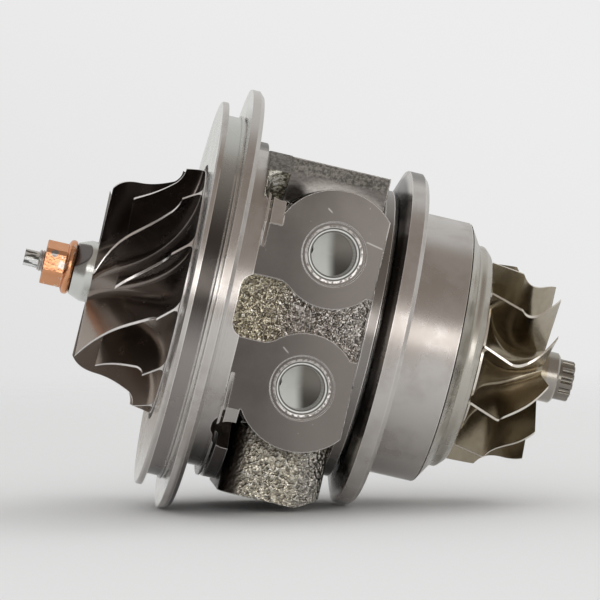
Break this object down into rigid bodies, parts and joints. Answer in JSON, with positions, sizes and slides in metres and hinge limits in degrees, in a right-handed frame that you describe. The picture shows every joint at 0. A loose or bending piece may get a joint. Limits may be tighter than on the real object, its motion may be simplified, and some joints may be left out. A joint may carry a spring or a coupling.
{
  "type": "turbocharger cartridge",
  "caption": "Turbocharger centre cartridge: cast bearing housing with round end flanges, oil and coolant ports, and a rotor with a compressor wheel and a turbine wheel.",
  "frame": {"origin": "on the shaft axis in the plane of the large flange face where the compressor cover seats", "axes": "+X along the shaft towards the turbine, +Z towards the oil inlet, coolant ports face -Y"},
  "size_m": [0.1557, 0.118, 0.118],
  "materials": {
    "cast_housing": "machined and as cast",
    "plate": "machined",
    "seal_rubber": "matt",
    "spring_steel": "blackened",
    "sheet_steel": "pressed",
    "bronze": "machined",
    "screw_steel": "blackened",
    "seal_iron": "ground",
    "shield_steel": "pressed and brushed",
    "shaft_steel": "ground",
    "wheel_aluminium": "cast with machined edges",
    "turbine_alloy": "cast nickel alloy, oxidised",
    "copper_plate": "copper plated"
  },
  "bodies": {
    "housing": {"bearing_housing": "cast_housing", "seal_plate": "plate", "seal_plate_o_ring": "seal_rubber", "retaining_ring": "spring_steel", "oil_deflector": "sheet_steel", "thrust_bearing": "bronze", "thrust_screws": "screw_steel", "bearing_snap_ring_1": "spring_steel", "bearing_snap_ring_2": "spring_steel", "bearing_snap_ring_3": "spring_steel", "bearing_snap_ring_4": "spring_steel", "compressor_seal_ring": "seal_iron", "turbine_seal_ring_1": "seal_iron", "turbine_seal_ring_2": "seal_iron", "heat_shield": "shield_steel"},
    "rotor": {"shaft": "shaft_steel", "thrust_collar": "shaft_steel", "oil_flinger": "shaft_steel", "compressor_wheel": "wheel_aluminium", "turbine_wheel": "turbine_alloy", "lock_nut": "copper_plate"},
    "front_bearing": {"journal_bearing_front": "bronze"},
    "rear_bearing": {"journal_bearing_rear": "bronze"}
  },
  "joints": [
    {"name": "rotor_spin", "type": "hinge", "parent": "housing", "child": "rotor", "pos_m": [0, 0, 0], "axis": [1, 0, 0], "continuous": true},
    {"name": "front_bearing_float", "type": "hinge", "parent": "housing", "child": "front_bearing", "pos_m": [0.0207, 0, 0], "axis": [1, 0, 0], "continuous": true},
    {"name": "rear_bearing_float", "type": "hinge", "parent": "housing", "child": "rear_bearing", "pos_m": [0.0451, 0, 0], "axis": [1, 0, 0], "continuous": true}
  ]
}
